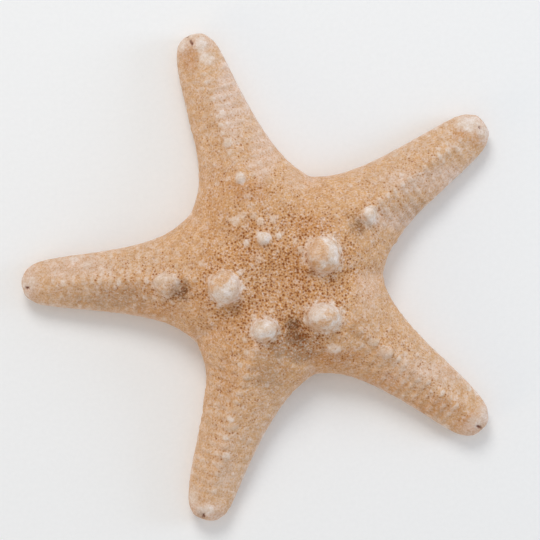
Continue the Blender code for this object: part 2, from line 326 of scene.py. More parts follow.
class SkinSizes(bpy.types.PropertyGroup):
    """Sizes of the body's surface."""

    grain: length("Mesh size", "Side of one face of the sculpted surface", 0.41 * MM, 0.3 * MM)
    most_faces: whole_number("Most triangles", "Body's triangles, saved underneath", 186000)
    smoothing: whole_number("Smoothing", "Passes that melt away the solid model's facets", 19)
    pore_depth: length("Pore depth", "How deep a pore is sunk into the skin", 0.20 * MM)
    pore_gap: length("Pore spacing", "Distance between pores where they are densest", 0.68 * MM)
    sparse_gap: length("Sparse spacing", "Distance between pores where they are thinnest", 1.7 * MM)
    plate_rise: length("Plate rise", "How far a skeleton plate stands out of the skin", 0.16 * MM)
    wave: length("Unevenness", "Height of the skin's slow waves", 0.30 * MM)
    ridge: length("Ridge", "Height of the blunt ridge along an arm", 0.55 * MM)


class SkinColours(bpy.types.PropertyGroup):
    """Colours of the dried skin and skeleton."""

    tan: colour("Tan", "Warm skin of the disc", (0.75, 0.440, 0.214))
    cream: colour("Cream", "Paler skin of the arms", (0.73, 0.487, 0.304))
    # Rust also paints shade on the shaded arm flanks.
    rust: colour("Rust", "Orange patches and the skin round the pores", (0.58, 0.25, 0.07))
    # Ash is mostly painted shade on the shaded arm flanks.
    ash: colour("Ash", "Cool brown patches", (0.31, 0.21, 0.14))
    # Blush also paints light on the lit arm flanks.
    blush: colour("Blush", "Pink patches and flecks", (0.81, 0.64, 0.56))
    chalk: colour("Chalk", "Bare skeleton on knobs, nodules and plates", (0.87, 0.77, 0.70))
    pore: colour("Pore", "Inside of the pores", (0.31, 0.09, 0.015))
    # Stain is partly painted shade in the hollows beside the knobs.
    stain: colour("Stain", "Dark hollows beside the knobs", (0.15, 0.06, 0.022))
    slit: colour("Slit", "Pits in the arms' tips", (0.20, 0.05, 0.016))


class FurrowSettings(bpy.types.PropertyGroup):
    """Sizes and colours of the spines and granules of the underside."""

    spine_length: length("Spine length", "Length of a furrow spine", 1.5 * MM)
    spine_radius: length("Spine radius", "Radius of a furrow spine at its base", 0.30 * MM)
    spine_step: length("Spine spacing", "Distance between furrow spines", 0.78 * MM)
    granule_radius: length("Granule radius", "Radius of a granule of the underside", 0.36 * MM)
    granule_gap: length("Granule spacing", "Least distance between granules", 0.78 * MM)
    spine_light: colour("Pale spines", "Spines' paler colour", (0.72, 0.58, 0.45))
    spine_dark: colour("Brown spines", "Spines' browner colour", (0.62, 0.45, 0.31))
    granule_light: colour("Pale granules", "Granules' paler colour", (0.70, 0.55, 0.42))
    granule_dark: colour("Brown granules", "Granules' browner colour", (0.60, 0.42, 0.28))


class StageSettings(bpy.types.PropertyGroup):
    """Camera and light."""

    camera_height: length("Camera height", "Camera's height above the widest outline", 0.75)
    view_width: length("View width", "Width that the camera takes in at the outline", 138.4 * MM)
    key_power: power("Key light", "Power of the soft light at the top", 5.2)
    warm_power: power("Warm light", "Power of the low warm light at the left", 1.4)
    cool_power: power("Cool light", "Power of the low cool light at the right", 3.4)
    sky_strength: power("Sky", "Brightness of the even light from all round", 0.55)


def settings():
    return bpy.context.scene.dried_starfish


class StarfishSettings(bpy.types.PropertyGroup):
    """Everything that a user would change."""

    skin: PointerProperty(type=SkinSizes)
    colours: PointerProperty(type=SkinColours)
    furrows: PointerProperty(type=FurrowSettings)
    stage: PointerProperty(type=StageSettings)


# --------------------------------------------------------------------------------------- geometry


def smoothstep(low, high, value):
    """0 below low, 1 above high and smooth between, for arrays. Low may be the larger one."""
    share = np.clip((value - low) / (high - low), 0.0, 1.0)
    return share * share * (3.0 - 2.0 * share)


def place(x, y):
    """Millimetres from the disc's middle to metres in the frame."""
    return np.array(((DISC_MIDDLE[0] + x) * MM, (DISC_MIDDLE[1] + y) * MM))


def unit(degrees):
    angle = math.radians(degrees)
    return np.array((math.cos(angle), math.sin(angle)))


def axis_offset(arm, along):
    """How far left of its straight heading an arm's own axis runs, this far out."""
    reach = arm[1] * MM
    return math.tan(math.radians(arm[2])) * along * (along / reach - 1.0)


def arm_point(arm, along, across):
    """The level place this far out along an arm and this far left of its axis."""
    heading = unit(arm[0])
    left = np.array((-heading[1], heading[0]))
    return place(0.0, 0.0) + heading * along + left * (across + axis_offset(arm, along))


def arm_coordinates(points):
    """Each point's arm number, distance out along the arm, and distance left of its axis."""
    flat = points[:, :2] - place(0.0, 0.0)
    bearing = np.degrees(np.arctan2(flat[:, 1], flat[:, 0]))
    headings = np.array([arm[0] for arm in ARMS])
    turn = (bearing[:, None] - headings + 180.0) % 360.0 - 180.0
    number = np.abs(turn).argmin(axis=1)
    along = np.zeros(len(points))
    across = np.zeros(len(points))
    for index, arm in enumerate(ARMS):
        own = number == index
        heading = unit(arm[0])
        along[own] = flat[own] @ heading
        across[own] = flat[own] @ np.array((-heading[1], heading[0]))
        across[own] -= axis_offset(arm, along[own])
    return number, along, across


def half_widths(number, along, across):
    """For each arm, its half-width at every step out, as (distances, widths)."""
    tables = []
    for index, arm in enumerate(ARMS):
        own = number == index
        distances = np.arange(0.0, arm[1] * MM, WIDTH_STEP)
        widths = []
        for distance in distances:
            near = own & (np.abs(along - distance) < WIDTH_STEP)
            widths.append(np.abs(across[near]).max() if near.any() else WIDTH_STEP)
        tables.append((distances, np.array(widths)))
    return tables


def noise_field(points, size, shift, octaves=2):
    """Smooth noise of this grain size over the points, about -1 to 1."""
    scale = 1.0 / size
    offset = Vector((shift * 13.7, shift * 7.1, shift * 3.3))
    values = [
        noise.fractal(Vector(point) * scale + offset, 0.6, 2.1, octaves) for point in points.tolist()
    ]
    return np.array(values)


def cell_field(points, size, shift):
    """Distance to the nearest of scattered centres, in grain sizes, which makes round bumps."""
    scale = 1.0 / size
    offset = Vector((shift * 5.3, shift * 11.9, shift * 2.7))
    values = [noise.voronoi(Vector(point) * scale + offset)[0][0] for point in points.tolist()]
    return np.array(values)


def mesh_arrays(mesh):
    """The mesh's vertex places and normals."""
    count = len(mesh.vertices)
    points = np.empty(count * 3)
    normals = np.empty(count * 3)
    mesh.vertices.foreach_get("co", points)
    mesh.vertices.foreach_get("normal", normals)
    return points.reshape(-1, 3), normals.reshape(-1, 3)


def set_points(mesh, points):
    mesh.vertices.foreach_set("co", points.astype(np.float32).ravel())
    mesh.update()


def evaluated_mesh(obj):
    """The object's mesh with its modifiers applied."""
    bpy.context.view_layer.update()
    graph = bpy.context.evaluated_depsgraph_get()
    return bpy.data.meshes.new_from_object(obj.evaluated_get(graph))


def applied(obj):
    """Applies the object's modifiers and leaves it a plain mesh."""
    mesh = evaluated_mesh(obj)
    obj.modifiers.clear()
    obj.data = mesh
    mesh.name = obj.name
    return obj


def new_object(name, data):
    obj = bpy.data.objects.new(name, data)
    bpy.context.scene.collection.objects.link(obj)
    return obj


def fine_body(sizes):
    """The solid model's skin as an even fine mesh, with its facets melted away."""
    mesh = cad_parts[BODY_NODE].data.copy()
    work = bmesh.new()
    work.from_mesh(mesh)
    bmesh.ops.remove_doubles(work, verts=work.verts, dist=1e-6)
    work.to_mesh(mesh)
    work.free()
    mesh.materials.clear()
    body = new_object("starfish_body", mesh)
    remesh = body.modifiers.new("Even mesh", "REMESH")
    remesh.mode = "VOXEL"
    remesh.voxel_size = sizes.grain
    smooth = body.modifiers.new("Melt facets", "SMOOTH")
    smooth.factor = 0.5
    smooth.iterations = sizes.smoothing
    thin_underside(applied(body), sizes.most_faces)
    return body


def thin_underside(body, most_faces):
    """Makes the flat underside's faces larger, until the body has no more than this many."""
    normals = mesh_arrays(body.data)[1]
    group = body.vertex_groups.new(name="underside")
    group.add(np.flatnonzero(normals[:, 2] < -0.6).tolist(), 1.0, "REPLACE")
    body.data.calc_loop_triangles()
    thin = body.modifiers.new("Thin underside", "DECIMATE")
    thin.ratio = min(1.0, most_faces / len(body.data.loop_triangles))
    thin.vertex_group = group.name
    thin.vertex_group_factor = 100.0
    applied(body)
    body.vertex_groups.clear()


# ----------------------------------------------------------------------------------- sculpting


MASKS = (
    "pores",  # how thick fine pores stand
    "pore",  # a sunk pore
    "plate",
    "knob",
    "worn",
    "stain",
    "slit",
    "warmth",
    "rust",
    "ash",
    "blush",
    "underside",
)
NEIGHBOUR_CELLS = [(i, j, k) for i in (-1, 0, 1) for j in (-1, 0, 1) for k in (-1, 0, 1)]


class Sculpt:
    """Relief and masks gathered over the body's vertices."""

    def __init__(self, mesh):
        self.points, self.normals = mesh_arrays(mesh)
        count = len(self.points)
        self.relief = np.zeros(count)
        self.masks = {name: np.zeros(count) for name in MASKS}
        self.number, self.along, self.across = arm_coordinates(self.points)
        self.tables = half_widths(self.number, self.along, self.across)
        widths = np.zeros(count)
        for index, (distances, table) in enumerate(self.tables):
            own = self.number == index
            widths[own] = np.interp(self.along[own], distances, table)
        self.side = self.across / np.maximum(widths, MM)
        self.middle_distance = np.linalg.norm(self.points[:, :2] - place(0.0, 0.0), axis=1)
        self.up = self.normals[:, 2]
        self.tree = KDTree(count)
        for index, point in enumerate(self.points.tolist()):
            self.tree.insert(point, index)
        self.tree.balance()

    def raise_mask(self, name, values, rows=slice(None)):
        """Makes a mask at least this strong on these vertices, or on all."""
        self.masks[name][rows] = np.maximum(self.masks[name][rows], values)

    def near(self, point, radius):
        """Row numbers of the vertices within this distance."""
        return np.array([found[1] for found in self.tree.find_range(point, radius)], int)

    def half_width(self, index, along):
        distances, table = self.tables[index]
        return float(np.interp(along, distances, table))

    def oval(self, x, y, wide, high):
        """Every vertex's place right of and above a spot, and its distance, in half-widths."""
        spot = place(x, y)
        across = (self.points[:, 0] - spot[0]) / (wide * MM)
        upward = (self.points[:, 1] - spot[1]) / (high * MM)
        return across, upward, np.hypot(across, upward)


def surface_under(tree, x, y):
    """The highest point of the surface at this level place."""
    return tree.ray_cast(Vector((x, y, 1.0)), Vector((0.0, 0.0, -1.0)))[0]


def add_waves(sculpt, sizes):
    """Slow unevenness all over, a blunt ridge along each arm, and faint ribs across it."""
    slow = noise_field(sculpt.points, SLOW_WAVES, 1)
    mid = noise_field(sculpt.points, LOW_BUMPS, 2)
    fine = noise_field(sculpt.points, FINE_BUMPS, 3)
    above = smoothstep(-0.3, 0.2, sculpt.up)
    inside = smoothstep(0.98, 0.8, np.abs(sculpt.side))
    bumps = slow * sizes.wave + mid * LOW_BUMP_RISE + fine * FINE_BUMP_RISE
    sculpt.relief += above * inside * bumps
    outwards = smoothstep(14.0 * MM, 26.0 * MM, sculpt.along)
    nearness = sculpt.across / (RIDGE_WIDTH * (1.6 - 0.6 * outwards))
    ridge = np.exp(-(nearness**2)) - 0.35
    ridge *= smoothstep(0.85, 0.3, np.abs(sculpt.side))
    fade = smoothstep(61.0 * MM, 52.0 * MM, sculpt.along)
    sculpt.relief += above * outwards * fade * ridge * sizes.ridge
    sculpt.relief += above * inside * outwards * rib_wave(sculpt) * RIB_RISE
    far = smoothstep(14.0 * MM, 40.0 * MM, sculpt.middle_distance)
    sculpt.masks["warmth"] = np.clip(0.92 - 0.72 * far + slow * 0.30 + mid * 0.15, 0.0, 1.0)
    sculpt.masks["underside"] = smoothstep(-0.35, -0.75, sculpt.up)


def rib_wave(sculpt):
    """1 on the rows of plates across an arm and -1 between them."""
    return np.cos(2.0 * math.pi * sculpt.along / PLATE_STEP)


def add_tints(sculpt):
    """Wide soft patches of rust, of cool grey and of pink in the skin, which also paint shade on shaded
    flanks and light on lit ones.
    """
    lumps = noise_field(sculpt.points, TINT_LUMPS, 12, 3)
    above = smoothstep(-0.4, 0.0, sculpt.up)
    for index, arm in enumerate(ARMS):
        outwards = sculpt.along + lumps * MM
        end = smoothstep((arm[1] - 6.5) * MM, (arm[1] - 2.0) * MM, outwards)
        sculpt.masks["blush"] += 0.75 * end * above * (sculpt.number == index)
    edge = smoothstep(0.80, 0.98, np.abs(sculpt.side)) * smoothstep(12.0 * MM, 22.0 * MM, sculpt.along)
    sculpt.raise_mask("blush", above * edge * (0.50 + 0.35 * lumps))
    for kind, x, y, wide, high, strength in TINTS:
        distance = sculpt.oval(x, y, wide, high)[2]
        patch = smoothstep(1.35, 0.45, distance + 0.45 * lumps) * strength
        sculpt.raise_mask(kind, patch * above)


def add_plate(sculpt, centre, ahead, size, rise, whiteness, stretch=1.45):
    """One skeleton plate: a low dome, this much longer across the arm than along it."""
    rows = sculpt.near(centre, size * stretch * 1.3)
    if not len(rows):
        return
    away = sculpt.points[rows] - np.array(centre)
    out = away[:, :2] @ ahead
    rest = np.sqrt(np.maximum((away * away).sum(axis=1) - out * out, 0.0))
    distance = np.hypot(out / size, rest / (size * stretch))
    sculpt.relief[rows] += smoothstep(1.08, 0.45, distance) * rise
    sculpt.raise_mask("plate", smoothstep(1.05, 0.65, distance) * whiteness, rows)


def add_arm_plates(sculpt, tree, sizes, draw):
    """Rows of plates along each arm, shrinking towards the tip and faint near the disc."""
    for index, arm in enumerate(ARMS):
        last = arm[1] * MM - PLATES_END
        for row, (share, size, whiteness) in enumerate(PLATE_ROWS):
            along = PLATES_BEGIN + 0.5 * PLATE_STEP * (row % 2)
            while along < last:
                taper = 1.0 - 0.25 * along / last
                width = sculpt.half_width(index, along)
                across = share * width + draw.normal(0.0, 0.22 * MM)
                spot = arm_point(arm, along + draw.normal(0.0, 0.18 * MM), across)
                hit = surface_under(tree, spot[0], spot[1])
                strength = whiteness * draw.uniform(0.10, 0.85)
                whole = size * MM * taper * draw.uniform(0.75, 1.15)
                if along < FAINT_PLATES_END:
                    strength *= 0.45
                if hit is not None:
                    add_plate(sculpt, hit, unit(arm[0]), whole, sizes.plate_rise, strength)
                along += PLATE_STEP


def add_margin_plates(sculpt, sizes, draw):
    """Two rows of blunt plates round the edge of every arm, above and below its widest line."""
    for index, arm in enumerate(ARMS):
        reach = arm[1] * MM
        sides = [(sign, row) for sign in (-1.0, 1.0) for row in MARGIN_ROWS]
        for sign, (height, offset, rise, whiteness) in sides:
            along = MARGIN_BEGIN + offset * MARGIN_STEP
            while along < reach - MARGIN_END:
                width = sculpt.half_width(index, along)
                spot = arm_point(arm, along, sign * width * 0.95)
                target = Vector((spot[0], spot[1], height * MM * (1.0 - 0.3 * along / reach)))
                centre = sculpt.tree.find(target)[0]
                size = 1.1 * MM * draw.uniform(0.8, 1.1)
                strength = whiteness * draw.uniform(0.1, 1.0)
                lift = sizes.plate_rise * rise
                add_plate(sculpt, centre, unit(arm[0]), size, lift, strength, 1.2)
                along += MARGIN_STEP * draw.uniform(0.92, 1.08)


def add_nodules(sculpt, tree, sizes):
    """Small pale nodules between the knobs and on the arms."""
    for x, y, radius, whiteness in NODULES:
        hit = surface_under(tree, *place(x, y))
        rise = sizes.plate_rise * 2.0 * whiteness
        add_plate(sculpt, hit, unit(0.0), radius * MM, rise, whiteness, 1.05)


def add_knobs(sculpt):
    """Chalky caps on the knobs: uneven, ragged at the edge, and tan where they are worn."""
    facets = cell_field(sculpt.points, CAP_FACETS, 4)
    lumps = noise_field(sculpt.points, CAP_LUMPS, 5, 3)
    above = sculpt.up > -0.1
    for spot, widths, whiteness, worn in KNOBS:
        across, upward, distance = sculpt.oval(*spot, widths[0] / 2.0, widths[1] / 2.0)
        edge = distance * (1.0 + 0.16 * lumps)
        size = min(widths) / LARGE_KNOB
        cap = smoothstep(1.20, 0.80, edge) * above
        sculpt.relief += cap * (0.06 - (facets - 0.35) * 0.35 + lumps * 0.12) * size * MM
        rim = np.exp(-(((edge - 1.16) / 0.14) ** 2)) * above
        sculpt.relief -= rim * RIM_DEPTH * size
        chalk = smoothstep(1.20, 0.78, edge + 0.14 * lumps) * above
        sculpt.raise_mask("knob", chalk * whiteness)
        sculpt.masks["plate"] *= 1.0 - cap
        for name in ("rust", "ash"):
            sculpt.masks[name] *= 1.0 - 0.7 * cap
        for x, y, reach in worn:
            patch = np.hypot(across - x, upward - y) + 0.30 * lumps
            sculpt.raise_mask("worn", smoothstep(reach * 1.25, reach * 0.65, patch) * cap)


def add_tips(sculpt):
    """Smooth pale patches on the arms' tips, and a dark pit in each."""
    lumps = noise_field(sculpt.points, TIP_LUMPS, 6, 3)
    for x, y, wide, high, whiteness in TIP_PATCHES:
        distance = sculpt.oval(x, y, wide, high)[2]
        patch = smoothstep(1.35, 0.45, distance + 0.30 * lumps) * (sculpt.up > -0.6)
        sculpt.raise_mask("plate", patch * whiteness)
        sculpt.relief += patch * TIP_RISE
    for x, y, size, bearing in TIP_PITS:
        away = sculpt.points[:, :2] - place(x, y)
        ahead = unit(bearing)
        out = away @ ahead / (size * MM / 2.0)
        beside = away @ np.array((-ahead[1], ahead[0])) / PIT_HALF_WIDTH
        pit = smoothstep(1.35, 0.65, np.hypot(out, beside)) * (sculpt.up > 0.0)
        sculpt.relief -= pit * PIT_DEPTH
        sculpt.raise_mask("slit", pit)


def add_stains_and_shade(sculpt):
    """Brown hollows beside some of the knobs, their dark colour partly stain and partly painted shade.
    """
    lumps = noise_field(sculpt.points, HOLLOW_LUMPS, 8)
    for x, y, radius, strength in STAINS_AND_SHADE:
        distance = sculpt.oval(x, y, radius, radius)[2]
        dark = smoothstep(1.4, 0.2, distance + 0.45 * lumps) * strength
        dark *= (1.0 - np.minimum(sculpt.masks["knob"] * 1.2, 1.0)) * (sculpt.up > 0.0)
        sculpt.relief -= dark * HOLLOW_DEPTH
        sculpt.raise_mask("stain", dark)


def pore_density(sculpt):
    """How thick the pores stand at each vertex, from 0 to 1."""
    patches = noise_field(sculpt.points, PORE_PATCHES, 9, 3)
    disc = smoothstep(30.0 * MM, 9.0 * MM, sculpt.middle_distance)
    between_ribs = 0.5 - 0.5 * rib_wave(sculpt)
    outwards = smoothstep(16.0 * MM, 30.0 * MM, sculpt.along)
    tip_fade = smoothstep(64.0 * MM, 42.0 * MM, sculpt.along)
    arm = (0.35 + 0.65 * between_ribs) * 0.55 * tip_fade
    density = disc * (1.0 - 0.5 * outwards) + outwards * arm * (1.0 - disc) + 0.30 * patches
    for spot, widths, _, _ in KNOBS:
        reach = (widths[0] + widths[1]) * 0.25 * MM
        if reach > 2.0 * MM:
            distance = np.linalg.norm(sculpt.points[:, :2] - place(*spot), axis=1)
            density += 0.35 * smoothstep(reach * 2.0, reach * 1.1, distance)
    density += 0.5 * sculpt.masks["stain"] + 0.2 * sculpt.masks["rust"]
    density -= 0.30 * sculpt.masks["blush"]
    density *= smoothstep(0.95, 0.35, np.abs(sculpt.side) * outwards)
    density *= smoothstep(0.15, 0.5, sculpt.up)
    bare = np.maximum(sculpt.masks["knob"], smoothstep(0.15, 0.6, sculpt.masks["plate"]))
    return np.clip(density * (1.0 - bare), 0.0, 1.0)


def crowded(point, limit, key, taken):
    """Whether a pore in this cell of space or one beside it is nearer than the limit."""
    for shift in NEIGHBOUR_CELLS:
        for other in taken.get((key[0] + shift[0], key[1] + shift[1], key[2] + shift[2]), ()):
            if math.dist(point, other) < limit:
                return True
    return False


def add_pores(sculpt, sizes, draw):
    """Sinks single vertices as pores, never closer together than the density there allows."""
    density = pore_density(sculpt)
    sculpt.masks["pores"] = density**1.3
    gap = sizes.sparse_gap + (sizes.pore_gap - sizes.sparse_gap) * density**0.6
    candidates = np.flatnonzero(density > 0.06)
    draw.shuffle(candidates)
    taken = {}
    rows = []
    places = sculpt.points.tolist()
    for row in candidates.tolist():
        point = places[row]
        key = tuple(int(value // sizes.sparse_gap) for value in point)
        if not crowded(point, gap[row], key, taken):
            taken.setdefault(key, []).append(point)
            rows.append(row)
    strength = 0.25 + 0.75 * draw.uniform(0.0, 1.0, len(rows)) ** 1.3
    strength *= 0.35 + 0.60 * density[rows]
    sculpt.raise_mask("pore", strength, rows)
    sculpt.relief[rows] -= sizes.pore_depth * strength


def lift_underside(sculpt):
    """Raises the pressed underside a little, so that its granules touch what it lies on."""
    low = smoothstep(0.9 * MM, 0.0, sculpt.points[:, 2])
    pavement = cell_field(sculpt.points, PAVEMENT, 10)
    under = smoothstep(-0.2, -0.6, sculpt.up)
    sculpt.relief += under * (0.35 - pavement) * PAVEMENT_RISE
    sculpt.points[:, 2] += low * UNDERSIDE_LIFT


def write_masks(mesh, masks):
    for name, values in masks.items():
        layer = mesh.attributes.new(name, "FLOAT", "POINT")
        layer.data.foreach_set("value", values.astype(np.float32))


def lay_out_colour(mesh, sculpt, points):
    """The flat layout for painting: the upper side large, the underside small beside it."""
    steep = sculpt.normals[:, :2] * smoothstep(8.0 * MM, 3.0 * MM, points[:, 2])[:, None]
    unfold = np.where(sculpt.up >= LAYOUT_SEAM, UNFOLD, 0.25 * UNFOLD)
    flat = points[:, :2] + steep * unfold[:, None]
    low = flat.min(axis=0)
    span = (flat - low).max()
    corners = np.zeros(len(mesh.loops), dtype=np.int64)
    mesh.loops.foreach_get("vertex_index", corners)
    totals = np.zeros(len(mesh.polygons), dtype=np.int64)
    mesh.polygons.foreach_get("loop_total", totals)
    starts = np.concatenate(((0,), np.cumsum(totals)[:-1]))
    facing = np.add.reduceat(sculpt.up[corners], starts) / totals
    upper = np.repeat(facing >= LAYOUT_SEAM, totals)
    share = (flat[corners] - low) / span
    laid = np.where(upper[:, None], 0.005 + share * 0.675, 0.685 + share * 0.31)
    layer = mesh.uv_layers.new(name="OFBake")
    layer.data.foreach_set("uv", laid.astype(np.float32).ravel())


def sculpt_body(body, sizes):
    """Gives the plain body its relief, its masks and its colour layout."""
    draw = np.random.default_rng(SEED)
    sculpt = Sculpt(body.data)
    tree = BVHTree.FromPolygons(
        [Vector(point) for point in sculpt.points.tolist()],
        [tuple(face.vertices) for face in body.data.polygons],
    )
    add_waves(sculpt, sizes)
    add_tints(sculpt)
    add_arm_plates(sculpt, tree, sizes, draw)
    add_margin_plates(sculpt, sizes, draw)
    add_nodules(sculpt, tree, sizes)
    add_knobs(sculpt)
    add_tips(sculpt)
    add_stains_and_shade(sculpt)
    add_pores(sculpt, sizes, draw)
    lift_underside(sculpt)
    jitter = draw.normal(0.0, JITTER, (len(sculpt.points), 3))
    jitter -= sculpt.normals * (jitter * sculpt.normals).sum(axis=1)[:, None]
    points = sculpt.points + sculpt.normals * sculpt.relief[:, None] + jitter
    points[:, 2] = np.maximum(points[:, 2], LOWEST)
    set_points(body.data, points)
    write_masks(body.data, sculpt.masks)
    lay_out_colour(body.data, sculpt, points)
    return sculpt


# ------------------------------------------------------------------------------------ materials


def shader_group(name, inputs, outputs):
    """A shader node group that takes a vector and these numbers, and gives these numbers."""
    tree = bpy.data.node_groups.new(name, "ShaderNodeTree")
    tree.interface.new_socket("Vector", in_out="INPUT", socket_type="NodeSocketVector")
    for label, value in inputs.items():
        item = tree.interface.new_socket(label, in_out="INPUT", socket_type="NodeSocketFloat")
        item.default_value = value
    for label in outputs:
        tree.interface.new_socket(label, in_out="OUTPUT", socket_type="NodeSocketFloat")
    given = tree.nodes.new("NodeGroupInput").outputs
    return tree, Wiring(tree), given, tree.nodes.new("NodeGroupOutput").inputs


class Wiring:
    """Short ways to add and join the nodes of one tree."""

    def __init__(self, tree):
        self.tree = tree

    def join(self, source, target):
        self.tree.links.new(source, target)

    def feed(self, socket, value):
        """Joins another socket to this one, or sets a plain value on it."""
        if isinstance(value, bpy.types.NodeSocket):
            self.join(value, socket)
        else:
            socket.default_value = value

    def node(self, kind, feeds=None, **values):
        """A new node with these settings, and its named or numbered inputs fed."""
        node = self.tree.nodes.new(kind)
        for name, value in values.items():
            setattr(node, name, value)
        for name, value in (feeds or {}).items():
            self.feed(node.inputs[name], value)
        return node

    def group(self, tree, feeds):
        """A shader node group placed in this tree, with its named inputs fed."""
        return self.node("ShaderNodeGroup", feeds, node_tree=tree)

    def math(self, operation, a, b, clamp=False):
        node = self.node("ShaderNodeMath", {0: a, 1: b}, operation=operation, use_clamp=clamp)
        return node.outputs[0]

    def times(self, a, b):
        return self.math("MULTIPLY", a, b)

    def larger(self, a, b):
        return self.math("MAXIMUM", a, b)

    def vector(self, operation, a, b):
        return self.node("ShaderNodeVectorMath", {0: a, 1: b}, operation=operation).outputs[0]

    def mask(self, name):
        """One of the body's masks, read from its mesh."""
        return self.node("ShaderNodeAttribute", attribute_name=name).outputs["Fac"]

    def ramp(self, value, low, high, to_low=0.0, to_high=1.0):
        """The value carried from low..high to to_low..to_high, and held at both ends."""
        feeds = {"Value": value, "From Min": low, "From Max": high}
        feeds.update({"To Min": to_low, "To Max": to_high})
        return self.node("ShaderNodeMapRange", feeds, clamp=True).outputs["Result"]

    def mix(self, factor, a, b, blend="MIX"):
        feeds = {"Factor": factor, "A": a, "B": b}
        return self.node("ShaderNodeMix", feeds, data_type="RGBA", blend_type=blend).outputs["Result"]

    def tinted(self, skin, share, dark, light):
        """A colour times one tint where the share is 0 and times another where it is 1."""
        return self.mix(1.0, skin, self.mix(share, (*dark, 1.0), (*light, 1.0)), blend="MULTIPLY")

    def noise(self, vector, scale, detail, roughness=0.5):
        feeds = {"Vector": vector, "Scale": scale, "Detail": detail, "Roughness": roughness}
        return self.node("ShaderNodeTexNoise", feeds).outputs["Fac"]

    def cells(self, vector, scale):
        """Scattered cells: the distance to the nearest centre, and one colour for each."""
        node = self.node("ShaderNodeTexVoronoi", {"Vector": vector, "Scale": scale}, feature="F1")
        return node.outputs["Distance"], node.outputs["Color"]

    def random(self, kind, low, high, seed):
        """A random value for every point."""
        feeds = {"Min": low, "Max": high, "Seed": seed}
        return self.node("FunctionNodeRandomValue", feeds, data_type=kind).outputs["Value"]


def grey(value):
    return (value, value, value)


def grain_group():
    """Fine grain of dried skeleton, its tone and height, made once and shared by every finish."""
    name = "Chalk grain"
    if name in bpy.data.node_groups:
        return bpy.data.node_groups[name]
    tree, wiring, given, end = shader_group(name, {"Grain": 2600.0}, ("Tone", "Height"))
    vector = given["Vector"]
    grain = given["Grain"]
    fine = wiring.noise(vector, grain, 3.0, 0.65)
    broad = wiring.noise(vector, wiring.times(grain, 0.22), 2.0, 0.55)
    distance = wiring.cells(vector, wiring.times(grain, 0.55))[0]
    tone = wiring.math("ADD", wiring.times(fine, 0.5), wiring.times(broad, 0.5))
    height = wiring.math("SUBTRACT", fine, wiring.times(distance, 0.6))
    wiring.join(tone, end["Tone"])
    wiring.join(height, end["Height"])
    return tree


def pore_group():
    """Round pores of mixed sizes: their insides, and the stained skin round them."""
    sizes = {"Scale": 1400.0, "Amount": 0.5}
    tree, wiring, given, end = shader_group("Pores", sizes, ("Hole", "Halo"))
    distance, tints = wiring.cells(given["Vector"], given["Scale"])
    chance = wiring.node("ShaderNodeSeparateColor", {"Color": tints}).outputs["Red"]
    size = wiring.times(given["Amount"], chance)
    radius = wiring.times(wiring.math("POWER", size, 0.5), 0.52)
    inside = wiring.math("SUBTRACT", radius, distance)
    wiring.join(wiring.ramp(inside, -0.04, 0.22), end["Hole"])
    wiring.join(wiring.ramp(inside, -0.30, 0.05), end["Halo"])
    return tree


def new_material(name, specular):
    """A new material with its wiring, its shader and the place on the piece."""
    material = bpy.data.materials.new(name)
    material.use_nodes = True
    wiring = Wiring(material.node_tree)
    shader = material.node_tree.nodes["Principled BSDF"]
    shader.inputs["Specular IOR Level"].default_value = specular
    spot = wiring.node("ShaderNodeTexCoord").outputs["Object"]
    return material, wiring, shader, spot


def add_bump(wiring, shader, height, strength, distance):
    feeds = {"Strength": strength, "Distance": distance, "Height": height}
    wiring.join(wiring.node("ShaderNodeBump", feeds).outputs["Normal"], shader.inputs["Normal"])


